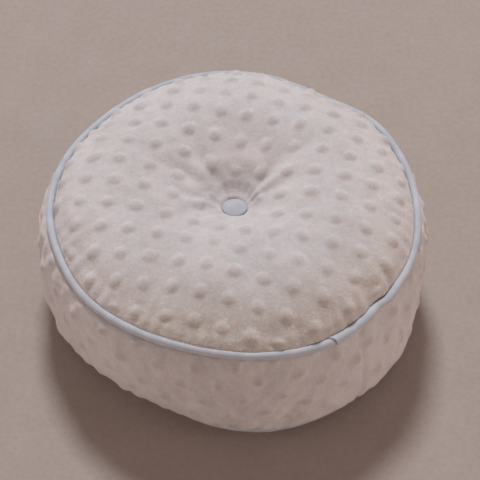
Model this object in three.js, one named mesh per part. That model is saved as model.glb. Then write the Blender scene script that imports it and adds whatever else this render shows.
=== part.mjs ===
// A round stuffed cushion, about 320 mm across and 147 mm high. A dotted plush cover is sewn round one
// filling: a top panel, a boxing band with one upright join, and a bottom panel. Satin piping is sewn into
// both round seams, and a covered button pulls a dimple into the top.
// Millimetres, +Z up. The origin is the middle of the flat patch that the cushion lies on. Azimuths are in
// degrees from +X towards +Y, so 270 is the side nearest the viewer.
import * as THREE from "three";

// Driving sizes
const seam = { radius: 148, topHeight: 112, bottomHeight: 12, stations: 96, joinAzimuth: 310 };
const pipe = { radius: 3.3, sides: 8, lapAzimuth: 300.6, lapSweep: 24, lapGrowth: 0.5 };
const clearance = 0.35;
const button = { radius: 10, edgeHeight: 1.5, thickness: 4.1, domeSteps: 7, segments: 36 };
const seat = { radius: 10.6, level: -0.6 };
const well = { reach: 19, rings: [9.6, 13, 16.5, 21, 27, 34, 43], points: 30 };
const dot = { midRadius: 3.3, rimRadius: 5.8, topHeight: 2.5, bandHeight: 1.9, midShare: 0.8, sides: 6 };
const bandJoin = { depth: 1.6, width: 3.2, rows: 10 };
const band = { flatLength: 986, meanSwell: 9.5, roundness: 0.5, curveSteps: 40 };
const rest = { radius: 118, shares: [0.25, 0.5, 0.75, 1], curve: 1.8 };

// The crown of the top panel above the plane of the seam, as shares of the seam radius
const crownRows = [
  { share: 0, height: 3.4 },
  { share: 0.12, height: 13.8 },
  { share: 0.25, height: 24.2 },
  { share: 0.42, height: 31.2 },
  { share: 0.62, height: 32 },
  { share: 0.82, height: 23 },
  { share: 0.93, height: 12.3 },
];

// The crown is uneven. It is fullest on one side, and its shoulder by the seam and its wall by the button
// stand a little off those heights. The button is tilted, with its near edge higher.
const fuller = { azimuth: 38, height: 4.2, buttonTilt: 6 };
const unevenRows = [
  { azimuth: 0, shoulder: 2, wall: -0.8 },
  { azimuth: 45, shoulder: 2, wall: 2 },
  { azimuth: 90, shoulder: -2, wall: 2 },
  { azimuth: 135, shoulder: -2.3, wall: -0.5 },
  { azimuth: 180, shoulder: 2, wall: 0.5 },
  { azimuth: 225, shoulder: -2, wall: -3 },
  { azimuth: 270, shoulder: -3, wall: -4 },
  { azimuth: 315, shoulder: 3.5, wall: -2.5 },
];

// How far the top seam wanders from a level circle
const topSeamRows = [
  { azimuth: 0, out: -0.9, up: 0 },
  { azimuth: 20, out: -0.4, up: 0 },
  { azimuth: 40, out: 1.6, up: 0 },
  { azimuth: 60, out: -1.8, up: -3.4 },
  { azimuth: 80, out: 0.2, up: 0.6 },
  { azimuth: 100, out: 0.4, up: 2.2 },
  { azimuth: 120, out: -0.2, up: 0.2 },
  { azimuth: 140, out: -1.6, up: -1 },
  { azimuth: 160, out: -0.6, up: 0 },
  { azimuth: 180, out: 0.4, up: 0 },
  { azimuth: 200, out: -1, up: 0 },
  { azimuth: 220, out: -0.1, up: 0 },
  { azimuth: 240, out: -1.4, up: 1.6 },
  { azimuth: 258, out: -1.6, up: 2.4 },
  { azimuth: 280, out: 0.6, up: -0.6 },
  { azimuth: 300, out: 3, up: -3 },
  { azimuth: 320, out: 1.4, up: -0.2 },
  { azimuth: 340, out: 0.8, up: 0 },
];

// The stuffing swells the band past its seams and pulls the bottom seam in, unevenly round the cushion
const bandRows = [
  { azimuth: 0, swell: 9.5, fullest: 0.42, bottomOut: -1.5 },
  { azimuth: 20, swell: 9.5, fullest: 0.45, bottomOut: -1 },
  { azimuth: 50, swell: 8.5, fullest: 0.5, bottomOut: 0 },
  { azimuth: 90, swell: 9, fullest: 0.5, bottomOut: -1 },
  { azimuth: 140, swell: 9.5, fullest: 0.5, bottomOut: 0.5 },
  { azimuth: 180, swell: 10.5, fullest: 0.5, bottomOut: -1.5 },
  { azimuth: 205, swell: 11.5, fullest: 0.52, bottomOut: -4.5 },
  { azimuth: 228, swell: 14.5, fullest: 0.5, bottomOut: -14 },
  { azimuth: 250, swell: 15.5, fullest: 0.5, bottomOut: -14.5 },
  { azimuth: 266, swell: 12, fullest: 0.52, bottomOut: -7 },
  { azimuth: 282, swell: 10.5, fullest: 0.54, bottomOut: -1 },
  { azimuth: 302, swell: 11.5, fullest: 0.6, bottomOut: 0 },
  { azimuth: 322, swell: 13, fullest: 0.64, bottomOut: -0.5 },
  { azimuth: 342, swell: 9, fullest: 0.56, bottomOut: -1 },
];

// Folds that the button draws into the crown
const creaseRows = [
  { azimuth: 8, depth: 2.6, width: 5.5, reach: 84 },
  { azimuth: 37, depth: 4.6, width: 6.5, reach: 92 },
  { azimuth: 62, depth: 2.2, width: 4.5, reach: 66 },
  { azimuth: 86, depth: 3, width: 5.5, reach: 80 },
  { azimuth: 106, depth: 2, width: 4.5, reach: 62 },
  { azimuth: 127, depth: 3, width: 5.5, reach: 78 },
  { azimuth: 163, depth: 3.2, width: 5.5, reach: 88 },
  { azimuth: 185, depth: 2.4, width: 5.5, reach: 90 },
  { azimuth: 222, depth: 2.6, width: 6.5, reach: 90 },
];

// The raised dots stand on a nearly square grid of the flat cloth, one grid for each piece of it. The top's
// grid is measured from the button, and the band's from its join and its lower edge. Angles are in degrees.
const topGrid = { x: -130.13, y: -17.51, stepA: 24.12, angleA: -12.83, stepB: 24.24, angleB: 79.24 };
const bandGrid = { x: 14.3, y: 44, stepA: 24.26, angleA: 59.4, stepB: 24.26, angleB: 141.4 };
// The button's pull flattens the dots close to it, further out on the near side
const flattened = { near: 31, far: 17, nearBelow: -3 };

// Points that fill the cloth between its dots
const edgeRows = [{ inset: 5, clear: 4.2 }, { inset: 12, clear: 5.5 }];
const fillingShifts = [{ a: 0.5, b: 0.5 }, { a: 0.5, b: 0 }, { a: 0, b: 0.5 }, { a: 0, b: 0 }];
const filling = 7.4;
const outlineMargin = 8.5;

const gridSpan = 60;
const outlineRounding = 3;
const farAway = 1e7;
const nudge = 0.002;
const radians = THREE.MathUtils.degToRad;

// A flat point at a distance from the middle, at an angle in degrees
function polar(distance, angle) {
  return new THREE.Vector2(distance, 0).rotateAround(new THREE.Vector2(), radians(angle));
}

// A column of a table as a smooth function of azimuth that closes on itself
function aroundTable(rows, column) {
  return (azimuth) => {
    const a = THREE.MathUtils.euclideanModulo(azimuth, 360);
    const count = rows.length;
    let i = rows.findLastIndex((row) => row.azimuth <= a);
    if (i < 0) i = count - 1;
    const at = (k) => rows[(k + count) % count];
    const span = THREE.MathUtils.euclideanModulo(at(i + 1).azimuth - at(i).azimuth, 360);
    const s = THREE.MathUtils.euclideanModulo(a - at(i).azimuth, 360) / span;
    const from = at(i)[column];
    const to = at(i + 1)[column];
    const leave = (to - at(i - 1)[column]) / 2;
    const arrive = (at(i + 2)[column] - from) / 2;
    const bend = 3 * (to - from) - 2 * leave - arrive;
    return from + s * (leave + s * (bend + s * (leave + arrive - 2 * (to - from))));
  };
}

const topOut = aroundTable(topSeamRows, "out");
const topUp = aroundTable(topSeamRows, "up");
const swell = aroundTable(bandRows, "swell");
const fullest = aroundTable(bandRows, "fullest");
const bottomOut = aroundTable(bandRows, "bottomOut");
const shoulderLift = aroundTable(unevenRows, "shoulder");
const wallLift = aroundTable(unevenRows, "wall");

// The lapped join of the piping: it starts at the folded edge and thins out along the lap
function lapGrowth(azimuth) {
  const past = THREE.MathUtils.euclideanModulo(azimuth - pipe.lapAzimuth, 360);
  return past > pipe.lapSweep ? 0 : pipe.lapGrowth * (1 - (past / pipe.lapSweep) ** 2);
}

// Middle of a piped seam in the upright plane at an azimuth: x is the radius and y is the height
function seamMiddle(side, azimuth) {
  return side === "top"
    ? new THREE.Vector2(seam.radius + topOut(azimuth), seam.topHeight + topUp(azimuth))
    : new THREE.Vector2(seam.radius + bottomOut(azimuth), seam.bottomHeight);
}

// A point beside a seam's middle, at an angle from straight out towards up
function besideSeam(side, azimuth, distance, angle) {
  const reach = distance + (side === "top" ? lapGrowth(azimuth) : 0);
  return seamMiddle(side, azimuth).add(polar(reach, angle));
}

function inSpace(point, azimuth) {
  const a = radians(azimuth);
  return new THREE.Vector3(point.x * Math.cos(a), point.x * Math.sin(a), point.y);
}

const facetTurn = 360 / pipe.sides;
const panelLeaves = 90 + facetTurn / 2;
const bandLeaves = 270 + facetTurn / 2;
const grooveRadius = pipe.radius + clearance / Math.cos(radians(facetTurn / 2));
const stationStep = 360 / seam.stations;
const stationAzimuth = (k) => seam.joinAzimuth + k * stationStep;

// The crown as one curve from the button to the seam, walked by its length
const panelEdge = polar(grooveRadius, panelLeaves);
const crown = new THREE.SplineCurve([
  ...crownRows.map((row) => new THREE.Vector2(row.share * seam.radius, row.height)),
  new THREE.Vector2(seam.radius + panelEdge.x, panelEdge.y),
]);
crown.arcLengthDivisions = 600;
const crownLength = crown.getLength();

function creaseDepth(radius, azimuth) {
  const start = THREE.MathUtils.smoothstep(radius, seat.radius, well.reach);
  let depth = 0;
  for (const row of creaseRows) {
    const off = THREE.MathUtils.euclideanModulo(azimuth - row.azimuth + 180, 360) - 180;
    const across = (radians(off) * radius) / (row.width * (0.6 + radius / row.reach));
    const along = THREE.MathUtils.smoothstep(row.reach - radius, 0, row.reach - well.reach);
    depth += row.depth * start * along * Math.exp(-across * across);
  }
  return depth;
}

// How far the crown stands off its mean section
function unevenness(share, azimuth) {
  const { smoothstep } = THREE.MathUtils;
  const middle = smoothstep(share, 0.1, 0.45) * (1 - smoothstep(share, 0.45, 0.9));
  const shoulder = smoothstep(share, 0.5, 0.9) * (1 - smoothstep(share, 0.9, 1));
  const wall = smoothstep(share, 0.06, 0.14) * (1 - smoothstep(share, 0.16, 0.42));
  const side = fuller.height * Math.cos(radians(azimuth - fuller.azimuth));
  return side * middle + shoulderLift(azimuth) * shoulder + wallLift(azimuth) * wall;
}

// The top panel without its dots, from a place in the flat cloth measured from the button
function topSurface(x, y) {
  const azimuth = THREE.MathUtils.radToDeg(Math.atan2(y, x));
  const flat = crown.getPointAt(Math.min(Math.hypot(x, y) / crownLength, 1));
  const share = flat.x / (seam.radius + panelEdge.x);
  const edge = besideSeam("top", azimuth, grooveRadius, panelLeaves);
  const tilt = Math.tan(radians(fuller.buttonTilt)) * share * edge.x * Math.sin(radians(azimuth));
  const level = seam.topHeight + seat.level - tilt;
  const mean = seam.topHeight + flat.y + share ** 3 * (edge.y - seam.topHeight - panelEdge.y);
  const raised = mean + unevenness(share, azimuth) - creaseDepth(flat.x, azimuth);
  const out = THREE.MathUtils.smootherstep(flat.x, seat.radius - 1, well.reach);
  const height = THREE.MathUtils.lerp(level, raised, out);
  return inSpace(new THREE.Vector2(share * edge.x, height), azimuth);
}

// The band between the piped seams, as a share of the way down
function bandPoint(azimuth, down) {
  const top = besideSeam("top", azimuth, grooveRadius, bandLeaves);
  const bottom = besideSeam("bottom", azimuth, grooveRadius, 360 - bandLeaves);
  const lean = Math.log(0.5) / Math.log(fullest(azimuth));
  const s = THREE.MathUtils.clamp(down, 0, 1) ** lean;
  const round = (4 * s * (1 - s)) ** band.roundness;
  const pastJoin = THREE.MathUtils.euclideanModulo(azimuth - seam.joinAzimuth + 180, 360) - 180;
  const across = (radians(pastJoin) * seam.radius) / bandJoin.width;
  const point = top.lerp(bottom, down);
  point.x += round * (swell(azimuth) - bandJoin.depth * Math.exp(-across * across));
  return point;
}

// The band's usual section, walked by its length, says how far down a place in the flat strip lies
const meanBand = new THREE.SplineCurve(
  Array.from({ length: band.curveSteps + 1 }, (_, i) => {
    const s = i / band.curveSteps;
    const drop = (seam.topHeight - seam.bottomHeight - 2 * grooveRadius) * s;
    return new THREE.Vector2(band.meanSwell * (4 * s * (1 - s)) ** band.roundness, drop);
  }),
);
const bandFlatHeight = meanBand.getLength();
const bandDrop = meanBand.getPointAt(1).y;

// The band without its dots, from a place in the flat strip: x from its join, y up from its lower edge
function bandSurface(x, y) {
  const azimuth = seam.joinAzimuth + (360 * x) / band.flatLength;
  const walked = THREE.MathUtils.clamp(1 - y / bandFlatHeight, 0, 1);
  return inSpace(bandPoint(azimuth, meanBand.getPointAt(walked).y / bandDrop), azimuth);
}

// A place on a surface moved out along the surface's own normal
function raisedPoint(surface, x, y, height) {
  const step = 0.5;
  const alongX = surface(x + step, y).sub(surface(x - step, y));
  const alongY = surface(x, y + step).sub(surface(x, y - step));
  return surface(x, y).addScaledVector(alongX.cross(alongY).normalize(), height);
}

// The grid's crossings, or places part-way between them, that lie inside a piece of cloth
function gridPlaces(grid, inside, shiftA = 0, shiftB = 0) {
  const a = polar(grid.stepA, grid.angleA);
  const b = polar(grid.stepB, grid.angleB);
  const places = [];
  for (let i = -gridSpan; i <= gridSpan; i++) {
    for (let j = -gridSpan; j <= gridSpan; j++) {
      const place = new THREE.Vector2(grid.x, grid.y);
      place.addScaledVector(a, i + shiftA).addScaledVector(b, j + shiftB);
      if (inside(place)) places.push(place);
    }
  }
  return places;
}

// A piece of cloth as points, each in the flat and in space: its outline, a small dome for each dot, and
// filling points that keep their distance
class Cloth {
  constructor(surface, dotHeight) {
    this.surface = surface;
    this.dotHeight = dotHeight;
    this.flat = [];
    this.space = [];
  }
  add(place, height = 0) {
    this.flat.push(place);
    this.space.push(
      height ? raisedPoint(this.surface, place.x, place.y, height) : this.surface(place.x, place.y),
    );
  }
  addDot(centre) {
    this.add(centre, this.dotHeight);
    for (let k = 0; k < dot.sides; k++) {
      const angle = (k * 360) / dot.sides;
      this.add(polar(dot.midRadius, angle).add(centre), this.dotHeight * dot.midShare);
      this.add(polar(dot.rimRadius, angle + 180 / dot.sides).add(centre));
    }
  }
  addClear(place, distance) {
    if (this.flat.every((other) => other.distanceTo(place) > distance)) this.add(place);
  }
}

// Whether p lies inside the circle through a, b and c
function encloses(a, b, c, p) {
  const [ax, ay] = [a.x - p.x, a.y - p.y];
  const [bx, by] = [b.x - p.x, b.y - p.y];
  const [cx, cy] = [c.x - p.x, c.y - p.y];
  const ab = (ax * ax + ay * ay) * (bx * cy - by * cx);
  const bc = (bx * bx + by * by) * (ax * cy - ay * cx);
  const ca = (cx * cx + cy * cy) * (ax * by - ay * bx);
  return ab - bc + ca > 0;
}

// Delaunay triangles of flat points, the first of which are a rounded outline. The outline goes in last, and
// each inner point is nudged a little, because points that share one circle have no single answer.
function triangulate(points, outlineCount) {
  const count = points.length;
  const nudged = points.map((point, i) => {
    const angle = i * i;
    return i < outlineCount ? point : polar(nudge, angle).add(point);
  });
  const all = [...nudged, polar(farAway, 210), polar(farAway, 330), polar(farAway, 90)];
  let triangles = [[count, count + 1, count + 2]];
  for (let step = 0; step < count; step++) {
    const p = (step + outlineCount) % count;
    const open = new Map();
    triangles = triangles.filter(([a, b, c]) => {
      if (!encloses(all[a], all[b], all[c], all[p])) return true;
      for (const [from, to] of [[a, b], [b, c], [c, a]]) {
        if (!open.delete(to + "," + from)) open.set(from + "," + to, [from, to]);
      }
      return false;
    });
    for (const [from, to] of open.values()) triangles.push([from, to, p]);
    if (triangles.length !== 2 * step + 3) throw new Error("the cloth is not covered once at point " + p);
  }
  const inner = triangles.filter((triangle) => Math.max(...triangle) < count);
  if (inner.length !== 2 * count - 2 - outlineCount) throw new Error("the cloth's outline is not kept");
  return inner;
}

// One closed body, built up from points and rows of points
class Body {
  constructor() {
    this.points = [];
    this.faces = [];
  }
  addPoint(point) {
    return this.points.push(point) - 1;
  }
  addRing(placeAt) {
    return Array.from({ length: seam.stations }, (_, k) => this.addPoint(placeAt(stationAzimuth(k))));
  }
  joinRings(first, second) {
    first.forEach((from, k) => {
      const next = (k + 1) % first.length;
      this.faces.push(first[next], from, second[k], first[next], second[k], second[next]);
    });
  }
  addCloth(cloth, outlineCount, known) {
    const ids = cloth.space.map((point, i) => known[i] ?? this.addPoint(point));
    for (const triangle of triangulate(cloth.flat, outlineCount)) {
      this.faces.push(...triangle.map((i) => ids[i]));
    }
  }
  toGeometry() {
    const geometry = new THREE.BufferGeometry().setFromPoints(this.points);
    geometry.setIndex(this.faces);
    geometry.computeVertexNormals();
    return geometry;
  }
}

// The top panel: its outline, its dots, rows that follow the button and the seam, and filling points
function topPanel() {
  const cloth = new Cloth(topSurface, dot.topHeight);
  const within = (place) => place.length() < crownLength - outlineMargin;
  const shows = (place) =>
    place.length() > (place.y < flattened.nearBelow ? flattened.near : flattened.far);
  for (let k = 0; k < seam.stations; k++) cloth.add(polar(crownLength, stationAzimuth(k)));
  gridPlaces(topGrid, (place) => within(place) && shows(place)).forEach((place) => cloth.addDot(place));
  cloth.add(new THREE.Vector2());
  well.rings.forEach((distance, row) => {
    for (let k = 0; k < well.points; k++) {
      const angle = ((k + 0.5 * (row % 2)) * 360) / well.points;
      cloth.addClear(polar(distance, angle), distance / 10);
    }
  });
  for (const { inset, clear } of edgeRows) {
    for (let k = 0; k < seam.stations; k++) {
      cloth.addClear(polar(crownLength - inset, stationAzimuth(k + 0.5)), clear);
    }
  }
  for (const shift of fillingShifts) {
    gridPlaces(topGrid, within, shift.a, shift.b).forEach((place) => cloth.addClear(place, filling));
  }
  return cloth;
}

// The boxing band: a strip whose two ends meet at its join. Its flat outline is drawn slightly rounded.
function boxingBand(body, upperRow, lowerRow) {
  const cloth = new Cloth(bandSurface, dot.bandHeight);
  const known = [];
  const addOutline = (s, t, id) => {
    const x = s * band.flatLength;
    const y = t * bandFlatHeight;
    const roundX = (2 * s - 1) * outlineRounding * (1 - (2 * t - 1) ** 2);
    const roundY = (2 * t - 1) * outlineRounding * (1 - (2 * s - 1) ** 2);
    cloth.flat.push(new THREE.Vector2(x + roundX, y + roundY));
    cloth.space.push(bandSurface(x, y));
    known.push(id);
  };
  const joinIds = [];
  for (let k = 1; k < bandJoin.rows; k++) {
    joinIds[k] = body.addPoint(bandSurface(0, (k / bandJoin.rows) * bandFlatHeight));
  }
  const around = (k) => k % seam.stations;
  for (let k = 0; k <= seam.stations; k++) addOutline(k / seam.stations, 0, lowerRow[around(k)]);
  for (let k = 1; k < bandJoin.rows; k++) addOutline(1, k / bandJoin.rows, joinIds[k]);
  for (let k = seam.stations; k >= 0; k--) addOutline(k / seam.stations, 1, upperRow[around(k)]);
  for (let k = bandJoin.rows - 1; k > 0; k--) addOutline(0, k / bandJoin.rows, joinIds[k]);
  const within = ({ x, y }) =>
    Math.min(x, band.flatLength - x, y, bandFlatHeight - y) > outlineMargin;
  gridPlaces(bandGrid, within).forEach((place) => cloth.addDot(place));
  for (const x of [bandJoin.width * 1.4, band.flatLength - bandJoin.width * 1.4]) {
    for (let k = 1; k < bandJoin.rows; k++) {
      cloth.addClear(new THREE.Vector2(x, (k / bandJoin.rows) * bandFlatHeight), 3);
    }
  }
  for (const { inset, clear } of edgeRows) {
    for (let k = 0; k < seam.stations; k++) {
      const x = ((k + 0.5) / seam.stations) * band.flatLength;
      cloth.addClear(new THREE.Vector2(x, inset), clear);
      cloth.addClear(new THREE.Vector2(x, bandFlatHeight - inset), clear);
    }
  }
  for (const shift of fillingShifts) {
    gridPlaces(bandGrid, within, shift.a, shift.b).forEach((place) => cloth.addClear(place, filling));
  }
  return { cloth, known };
}

// The whole cushion as one filled solid: top panel, band, bottom panel, and a groove along each piped seam
function cushionBody() {
  const body = new Body();
  const seamRow = (side, angle) =>
    body.addRing((azimuth) => inSpace(besideSeam(side, azimuth, grooveRadius, angle), azimuth));
  const upper = [];
  const lower = [];
  for (let turned = 0; turned <= bandLeaves - panelLeaves; turned += facetTurn) {
    upper.push(seamRow("top", panelLeaves + turned));
    lower.push(seamRow("bottom", 360 - bandLeaves + turned));
  }
  const panel = topPanel();
  body.addCloth(panel, seam.stations, upper[0]);
  const strip = boxingBand(body, upper.at(-1), lower[0]);
  body.addCloth(strip.cloth, strip.known.length, strip.known);
  const base = rest.shares.map((share) =>
    body.addRing((azimuth) => {
      const edge = besideSeam("bottom", azimuth, grooveRadius, 360 - panelLeaves);
      const radius = THREE.MathUtils.lerp(edge.x, rest.radius, share);
      return inSpace(new THREE.Vector2(radius, edge.y * (1 - share) ** rest.curve), azimuth);
    }),
  );
  for (const rows of [upper, [...lower, ...base]]) {
    rows.slice(1).forEach((row, i) => body.joinRings(rows[i], row));
  }
  const middle = body.addPoint(new THREE.Vector3());
  const last = base.at(-1);
  last.forEach((from, k) => body.faces.push(last[(k + 1) % last.length], from, middle));
  return body.toGeometry();
}

// The piping of one seam, thicker where its ends lap on the top seam
function pipingRing(side) {
  const body = new Body();
  const rows = Array.from({ length: pipe.sides }, (_, k) => {
    const angle = panelLeaves - k * facetTurn;
    return body.addRing((azimuth) => inSpace(besideSeam(side, azimuth, pipe.radius, angle), azimuth));
  });
  rows.forEach((row, k) => body.joinRings(row, rows[(k + 1) % rows.length]));
  return body.toGeometry();
}

// The covered button: a flat back, a rolled edge and a low dome
function coveredButton() {
  const profile = [new THREE.Vector2(0, 0), new THREE.Vector2(button.radius - 1, 0)];
  const rise = button.thickness - button.edgeHeight;
  for (let k = 0; k <= button.domeSteps; k++) {
    const angle = (Math.PI / 2) * (k / button.domeSteps);
    const distance = k === button.domeSteps ? 0 : button.radius * Math.cos(angle);
    profile.push(new THREE.Vector2(distance, button.edgeHeight + rise * Math.sin(angle)));
  }
  return new THREE.LatheGeometry(profile, button.segments).rotateX(Math.PI / 2 - radians(fuller.buttonTilt));
}

const plush = new THREE.MeshStandardMaterial({ color: "#d8cdc8", roughness: 0.95, metalness: 0 });
const satin = new THREE.MeshStandardMaterial({ color: "#b9c3d4", roughness: 0.55, metalness: 0 });
const buttonCloth = new THREE.MeshStandardMaterial({ color: "#c3c6d2", roughness: 0.8, metalness: 0 });

const cushion = new THREE.Group();

function addPiece(name, geometry, material, height = 0) {
  const mesh = new THREE.Mesh(geometry, material);
  mesh.name = name;
  mesh.position.z = height;
  cushion.add(mesh);
}

addPiece("cushion_body", cushionBody(), plush);
addPiece("piping_top", pipingRing("top"), satin);
addPiece("piping_bottom", pipingRing("bottom"), satin.clone());
addPiece("button_top", coveredButton(), buttonCloth, seam.topHeight + seat.level + clearance);

export default cushion;
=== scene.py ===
# Dresses a round boxed cushion: a cover of dotted plush, two satin pipings and a covered button, with the
# floor, the light and the camera. Everything is worked out in millimetres and made in metres.
import math

import bpy
import numpy as np
from mathutils import Matrix, Vector, geometry, kdtree


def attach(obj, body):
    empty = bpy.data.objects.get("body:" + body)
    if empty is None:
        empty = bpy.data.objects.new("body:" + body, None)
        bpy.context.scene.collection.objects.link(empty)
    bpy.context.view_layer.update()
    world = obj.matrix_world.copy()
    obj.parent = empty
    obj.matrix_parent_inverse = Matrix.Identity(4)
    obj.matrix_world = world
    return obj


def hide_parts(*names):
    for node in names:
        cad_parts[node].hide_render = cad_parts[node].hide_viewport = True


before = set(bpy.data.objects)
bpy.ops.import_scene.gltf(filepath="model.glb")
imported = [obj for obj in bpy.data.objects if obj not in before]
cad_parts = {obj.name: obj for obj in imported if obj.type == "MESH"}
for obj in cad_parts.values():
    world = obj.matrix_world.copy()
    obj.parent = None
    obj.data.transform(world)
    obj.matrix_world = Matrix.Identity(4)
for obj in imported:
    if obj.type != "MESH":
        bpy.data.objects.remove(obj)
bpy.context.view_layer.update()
mm = 0.001
print("frame loaded")

# The camera stands where the photograph was taken from, as worked out from the seam, the crown and the dots.
shot = {
    "aim": (4.93, -32.9, 112.0),  # mm, on the plane of the top seam
    "distance": 1628.0,  # mm
    "elevation": 50.2,  # degrees above the floor
    "roll": 1.07,  # degrees; the right side of the picture hangs a little
    "lens": 153.6,  # mm on a 36 mm sensor
}


def newObject(name, data):
    made = bpy.data.objects.new(name, data)
    bpy.context.collection.objects.link(made)
    return made


def makeCamera(s):
    elevation = math.radians(s["elevation"])
    forward = Vector((0, math.cos(elevation), -math.sin(elevation)))
    up = Vector((0, math.sin(elevation), math.cos(elevation)))
    camera = newObject("camera", bpy.data.cameras.new("camera"))
    camera.data.lens = s["lens"]
    camera.data.sensor_width = 36
    turned = Matrix.Rotation(math.radians(s["roll"]), 3, -forward)
    right = turned @ Vector((1, 0, 0))
    up = turned @ up
    place = Vector(s["aim"]) - forward * s["distance"]
    camera.matrix_world = Matrix.Translation(place * mm) @ Matrix((right, up, -forward)).transposed().to_4x4()
    bpy.context.scene.camera = camera


makeCamera(shot)

# The sewn form, with the same sizes as the solids.
form = {
    "stations": 96,  # sections that the solid piping has
    "joinAzimuth": 310.0,  # where the band's two ends are sewn together
    "grooveRadius": 3.45,
    "panelLeaves": 112.5,  # degrees round the piping where the top panel starts
    "seamRadius": 148.0,
    "topHeight": 112.0,
    "bottomHeight": 12.0,
    "bandFlatLength": 986.0,
    "bandMeanSwell": 9.5,
    "bandRoundness": 0.5,
    "seatRadius": 10.3,
    "seatLevel": -0.6,
    "wellReach": 22.0,
    "rimRise": 3.3,  # mm that the cloth stands up round the button's edge
    "rimWidth": 1.8,
    "wellEase": 4.0,  # mm that the cloth behind the button lies below the crown
    "easeReach": (9, 15, 18, 36),  # mm from the middle: starts, is full, fades and is gone
    "tuckFade": 4.5,  # mm
    "creaseStart": 30.0,
    "kinkAzimuth": 321.5,
    "kinkDepth": 1.05,
    "kinkLength": 7.0,
    "drawnBack": 10.0,
    "drawnFrom": 13.0,
    "drawnTo": 38.0,
    "restRadius": 118.0,
    "restCurve": 1.8,
}


# The rows of a table, with its columns named.
def table(columns, *rows):
    return [dict(zip(columns.split(), row)) for row in rows]


# Height of the crown above the plane of the seam, by its share of the seam's radius.
crownRows = table(
    "share height",
    (0.0, 3.4), (0.12, 13.8), (0.25, 24.2), (0.42, 31.2), (0.62, 32.0), (0.82, 23.0), (0.93, 12.3),
)

# The crown is uneven. It is fullest on one side, and its shoulder by the seam and its wall by the button
# stand a little off the mean crown, in millimetres, by azimuth. The button is tilted, its near edge higher.
fuller = {"azimuth": 38.0, "height": 4.2, "buttonTilt": 6.0}
crownZones = {
    "wall": (0.06, 0.14, 0.16, 0.42),
    "middle": (0.1, 0.45, 0.45, 0.9),
    "shoulder": (0.5, 0.9, 0.9, 1.0),
}
unevenRows = table(
    "azimuth shoulder wall",
    (0, 1.0, -0.8), (45, 0.8, 2.0), (90, -2.0, 2.0), (135, -2.3, -0.5),
    (180, 2.0, 0.5), (225, -2.0, -3.0), (270, -3.0, -4.0), (315, 3.5, -2.5),
)

# Where round the piping the top panel comes out of the seam, in degrees: 90 is over it and 180 is beside it.
# The cloth wells up over the piping in some places, and is drawn down beside it in others.
tuckRows = table(
    "azimuth leaves",
    (0, 150), (11, 164), (28, 188), (37, 180), (45, 158), (53, 138), (57, 104), (61, 122),
    (66, 100), (72, 136), (80, 122), (90, 112), (97, 122), (103, 150), (112, 148), (119, 134),
    (130, 165), (141, 174), (152, 188), (171, 168), (184, 166), (195, 130), (215, 120), (240, 122),
    (262, 110), (285, 110), (303, 142), (314, 138), (323, 158), (333, 120), (347, 127),
)

# How far the stuffing swells the band, and how far down it is fullest, by azimuth.
bandRows = table(
    "azimuth swell fullest",
    (0, 8.2, 0.44), (20, 7.8, 0.46), (50, 8.0, 0.5), (90, 9.0, 0.5), (140, 9.5, 0.5),
    (180, 10.5, 0.5), (205, 11.5, 0.52), (228, 14.5, 0.5), (250, 15.0, 0.54), (266, 12.0, 0.58),
    (282, 10.5, 0.58), (302, 11.5, 0.6), (322, 13.0, 0.64), (342, 8.4, 0.56),
)

# Folds that the button draws into the crown.
creaseRows = table(
    "azimuth depth width reach",
    (10, 3.0, 6.0, 90), (38, 4.8, 8.5, 108), (66, 2.6, 5.5, 84), (87, 4.4, 7.0, 100),
    (108, 2.4, 5.5, 80), (128, 6.0, 7.5, 108), (158, 5.2, 7.0, 100), (184, 2.8, 5.5, 90),
    (212, 4.0, 7.5, 96), (244, 1.6, 6.0, 70), (335, 1.8, 6.5, 84),
)


def smooth(value, low, high):
    t = np.clip((value - low) / (high - low), 0, 1)
    return t * t * (3 - 2 * t)


# Rises from none to all of it, and fades to none again.
def between(value, low, full, fade, gone):
    return smooth(value, low, full) * (1 - smooth(value, fade, gone))


def angleFrom(azimuth, start):
    return (azimuth - start + 180) % 360 - 180


# A column of a table as a smooth function of azimuth that closes on itself.
def aroundTable(rows, column):
    places = np.array([row["azimuth"] for row in rows], float)
    values = np.array([row[column] for row in rows], float)
    count = len(rows)

    def at(azimuth):
        a = np.asarray(azimuth) % 360
        i = (np.searchsorted(places, a, side="right") - 1) % count
        j = (i + 1) % count
        s = ((a - places[i]) % 360) / ((places[j] - places[i]) % 360)
        leave = (values[j] - values[i - 1]) / 2
        arrive = (values[(i + 2) % count] - values[i]) / 2
        rise = values[j] - values[i]
        return values[i] + s * (leave + s * (3 * rise - 2 * leave - arrive + s * (leave + arrive - 2 * rise)))

    return at


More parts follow.
